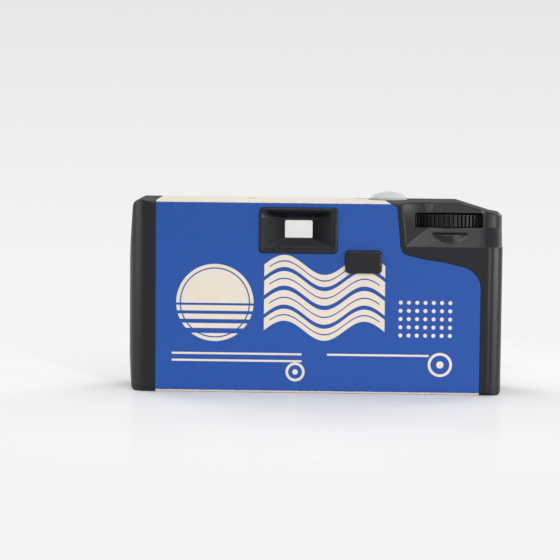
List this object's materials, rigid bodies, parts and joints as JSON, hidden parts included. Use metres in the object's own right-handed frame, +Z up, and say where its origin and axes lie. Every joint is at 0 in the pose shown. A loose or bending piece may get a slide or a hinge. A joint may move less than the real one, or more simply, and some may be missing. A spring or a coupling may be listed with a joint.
{
  "type": "disposable film camera",
  "caption": "Single-use film camera with a printed paper wrap, a rear eyepiece, a thumb wheel, a domed shutter button and a flash.",
  "frame": {"origin": "middle of the camera's base, under the centre of the box round it", "axes": "+Z up from the base, +Y towards the front with the lens, +X to the right as seen from behind"},
  "size_m": [0.118, 0.034, 0.0632],
  "materials": {
    "front_cover": "fine-textured black",
    "rear_cover": "fine-textured black",
    "cassette_door": "fine-textured black",
    "wrap_label": "coated print, blue with cream edges",
    "film_frame": "matt black",
    "cassette_shell": "satin lacquer",
    "cassette_top_cap": "gloss black",
    "cassette_bottom_cap": "gloss black",
    "cassette_spool": "black",
    "film_strip": "brown film base",
    "film_roll": "brown film base",
    "supply_spool": "black",
    "sprocket_shaft": "white acetal",
    "lock_lever": "white acetal",
    "striker_lever": "white acetal",
    "mechanism_plate": "black",
    "plate_screws": "zinc plated",
    "counter_disc": "white with black numbers",
    "counter_window": "clear moulded window",
    "shutter_button": "frosted, pale green-grey",
    "button_spring": "bright wire",
    "thumb_wheel": "black",
    "wheel_pawl": "black",
    "shutter_blade": "matt black",
    "lens_board": "matt black",
    "taking_lens": "clear moulded lens",
    "lens_surround": "matt black",
    "viewfinder_rear_lens": "clear moulded lens",
    "viewfinder_front_lens": "clear moulded lens",
    "flash_window": "clear, finely ribbed",
    "flash_reflector": "bright aluminised",
    "flash_tube": "clear glass",
    "capacitor": "shrunk sleeve",
    "circuit_board": "phenolic board",
    "transformer": "taped winding",
    "board_parts": "mixed small parts",
    "battery": "plain jacket",
    "battery_contacts": "nickel plated",
    "flash_switch": "black, ribbed",
    "ready_lamp": "clear orange light pipe",
    "sync_contact": "spring strip"
  },
  "bodies": {
    "camera_body": {"front_cover": "front_cover", "rear_cover": "rear_cover", "cassette_door": "cassette_door", "wrap_label": "wrap_label", "film_frame": "film_frame", "cassette_shell": "cassette_shell", "cassette_top_cap": "cassette_top_cap", "cassette_bottom_cap": "cassette_bottom_cap", "film_strip": "film_strip", "mechanism_plate": "mechanism_plate", "plate_screws": "plate_screws", "counter_window": "counter_window", "button_spring": "button_spring", "lens_board": "lens_board", "taking_lens": "taking_lens", "lens_surround": "lens_surround", "viewfinder_rear_lens": "viewfinder_rear_lens", "viewfinder_front_lens": "viewfinder_front_lens", "flash_window": "flash_window", "flash_reflector": "flash_reflector", "flash_tube": "flash_tube", "capacitor": "capacitor", "circuit_board": "circuit_board", "transformer": "transformer", "board_parts": "board_parts", "battery": "battery", "battery_contacts": "battery_contacts", "ready_lamp": "ready_lamp", "sync_contact": "sync_contact"},
    "wheel": {"thumb_wheel": "thumb_wheel", "cassette_spool": "cassette_spool"},
    "supply": {"supply_spool": "supply_spool", "film_roll": "film_roll"},
    "sprocket": {"sprocket_shaft": "sprocket_shaft"},
    "counter": {"counter_disc": "counter_disc"},
    "lock": {"lock_lever": "lock_lever"},
    "striker": {"striker_lever": "striker_lever"},
    "blade": {"shutter_blade": "shutter_blade"},
    "pawl": {"wheel_pawl": "wheel_pawl"},
    "button": {"shutter_button": "shutter_button"},
    "switch": {"flash_switch": "flash_switch"}
  },
  "joints": [
    {"name": "wind_wheel", "type": "hinge", "parent": "camera_body", "child": "wheel", "pos_m": [0.0422, -0.0011, 0.055], "axis": [0, 0, 1], "continuous": true, "deforming": ["film_strip"]},
    {"name": "supply_turn", "type": "hinge", "parent": "camera_body", "child": "supply", "pos_m": [-0.043, -0.00423, 0.026], "axis": [0, 0, 1], "continuous": true},
    {"name": "sprocket_turn", "type": "hinge", "parent": "camera_body", "child": "sprocket", "pos_m": [0.0152, -0.00705, 0.04], "axis": [0, 0, 1], "continuous": true},
    {"name": "counter_turn", "type": "hinge", "parent": "camera_body", "child": "counter", "pos_m": [0.0125, 0.0036, 0.055], "axis": [0, 0, 1], "continuous": true},
    {"name": "lock_swing", "type": "hinge", "parent": "camera_body", "child": "lock", "pos_m": [0.0236, -0.0022, 0.048], "axis": [0, 0, 1], "range_deg": [-6, 0], "stiffness_Nm_per_rad": 0.0004},
    {"name": "striker_swing", "type": "hinge", "parent": "camera_body", "child": "striker", "pos_m": [0.0082, 0.0029, 0.048], "axis": [0, 0, 1], "range_deg": [0, 22], "stiffness_Nm_per_rad": 0.0004},
    {"name": "shutter_swing", "type": "hinge", "parent": "camera_body", "child": "blade", "pos_m": [0.0021, 0.009, 0.0308], "axis": [0, 1, 0], "range_deg": [-30, 0], "stiffness_Nm_per_rad": 0.0004},
    {"name": "pawl_swing", "type": "hinge", "parent": "camera_body", "child": "pawl", "pos_m": [0.031, 0.0104, 0.054], "axis": [0, 0, 1], "range_deg": [-12, 0], "stiffness_Nm_per_rad": 0.0004},
    {"name": "button_press", "type": "slide", "parent": "camera_body", "child": "button", "axis": [0, 0, -1], "range_m": [0, 0.0016], "stiffness_N_per_m": 900, "deforming": ["button_spring"]},
    {"name": "flash_slide", "type": "slide", "parent": "camera_body", "child": "switch", "axis": [0, 0, 1], "range_m": [0, 0.003]}
  ],
  "couplings": [
    {"joint": "supply_turn", "follows": "wind_wheel", "ratio": 0.74713},
    {"joint": "sprocket_turn", "follows": "wind_wheel", "ratio": 1.0748},
    {"joint": "counter_turn", "follows": "wind_wheel", "ratio": -0.035825}
  ]
}
